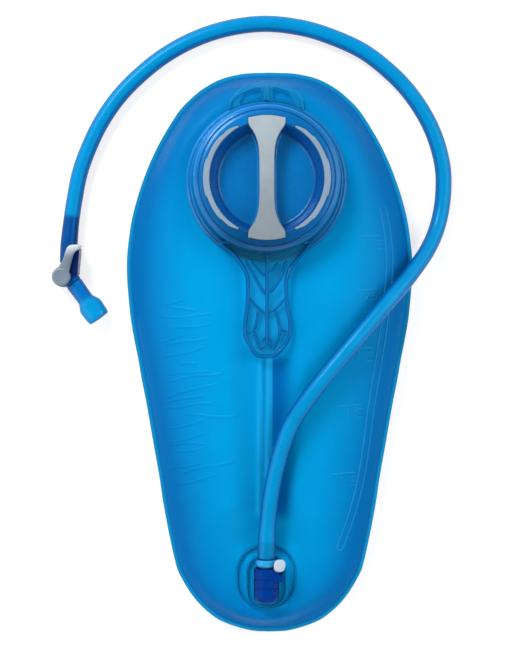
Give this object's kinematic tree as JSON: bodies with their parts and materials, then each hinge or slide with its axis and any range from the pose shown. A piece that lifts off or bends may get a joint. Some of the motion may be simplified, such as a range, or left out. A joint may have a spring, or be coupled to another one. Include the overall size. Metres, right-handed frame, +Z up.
{
  "type": "hydration bladder",
  "caption": "Flat film water reservoir with a quarter-turn fill lid, carrying handle, quick-release outlet, drinking hose, shut-off lever and bite valve.",
  "frame": {"origin": "centre of the bag's outline, on the surface the bag lies on", "axes": "+Y along the bag towards the lid end, +Z up from the back film to the lid, +X to the right when seen from above with the lid end away from the viewer"},
  "size_m": [0.3006, 0.4643, 0.0626],
  "materials": {
    "film_blue": "smooth translucent film",
    "film_clear_blue": "smooth translucent film",
    "film_inner": "translucent film",
    "port_clear_blue": "clear moulded plastic",
    "lid_blue": "glossy moulded plastic",
    "grip_grey": "soft over-moulded rubber",
    "seal_silicone": "silicone",
    "fitting_navy": "glossy moulded plastic",
    "button_pale": "satin plastic",
    "spring_steel": "stainless wire",
    "poppet_blue": "matte plastic",
    "seal_black": "nitrile rubber",
    "plug_light_blue": "glossy moulded plastic",
    "hose_blue": "translucent flexible tube",
    "spool_white": "matte plastic",
    "lever_grey": "satin plastic",
    "silicone_blue": "soft silicone"
  },
  "bodies": {
    "reservoir": {"back_film": "film_blue", "front_film": "film_clear_blue", "centre_baffle": "film_inner", "fill_port": "port_clear_blue", "outlet_port": "port_clear_blue", "outlet_socket": "fitting_navy"},
    "lid_rim": {"lid_seal": "seal_silicone"},
    "lid": {"lid_body": "lid_blue", "lid_grip_bar": "grip_grey", "lid_grip_arc_right": "grip_grey", "lid_grip_arc_left": "grip_grey"},
    "latch": {"release_button": "button_pale", "button_spring": "spring_steel"},
    "poppet": {"socket_poppet": "poppet_blue", "poppet_seal": "seal_black", "poppet_spring": "spring_steel"},
    "hose_line": {"hose_plug": "plug_light_blue", "plug_seal": "seal_black", "hose": "hose_blue", "valve_body": "fitting_navy"},
    "shutoff": {"valve_lever": "lever_grey", "valve_spool": "spool_white", "spool_seal_lower": "seal_black", "spool_seal_upper": "seal_black"},
    "mouthpiece": {"bite_valve": "silicone_blue"}
  },
  "joints": [
    {"name": "lid_lift", "type": "slide", "parent": "reservoir", "child": "lid_rim", "axis": [0, 0, 1], "range_m": [0, 0.06]},
    {"name": "lid_turn", "type": "hinge", "parent": "lid_rim", "child": "lid", "pos_m": [-0.0025, 0.1253, 0.05], "axis": [0, 0, 1], "range_deg": [0, 90]},
    {"name": "button_press", "type": "slide", "parent": "reservoir", "child": "latch", "axis": [-1, 0, 0], "range_m": [0, 0.0018], "stiffness_N_per_m": 400, "deforming": ["button_spring"]},
    {"name": "plug_pull", "type": "slide", "parent": "reservoir", "child": "hose_line", "axis": [0, 1, 0], "range_m": [0, 0.012]},
    {"name": "poppet_shut", "type": "slide", "parent": "reservoir", "child": "poppet", "axis": [0, 1, 0], "range_m": [0, 0.0012], "deforming": ["poppet_spring"]},
    {"name": "shutoff_turn", "type": "hinge", "parent": "hose_line", "child": "shutoff", "pos_m": [-0.1557, 0.0564, 0.0089], "axis": [0, 0, 1], "range_deg": [0, 90]},
    {"name": "bite_swivel", "type": "hinge", "parent": "hose_line", "child": "mouthpiece", "pos_m": [-0.1488, 0.0534, 0.0089], "axis": [0.5842, -0.8116, 0], "continuous": true}
  ],
  "couplings": [
    {"joint": "poppet_shut", "follows": "plug_pull", "ratio": 0.1}
  ]
}
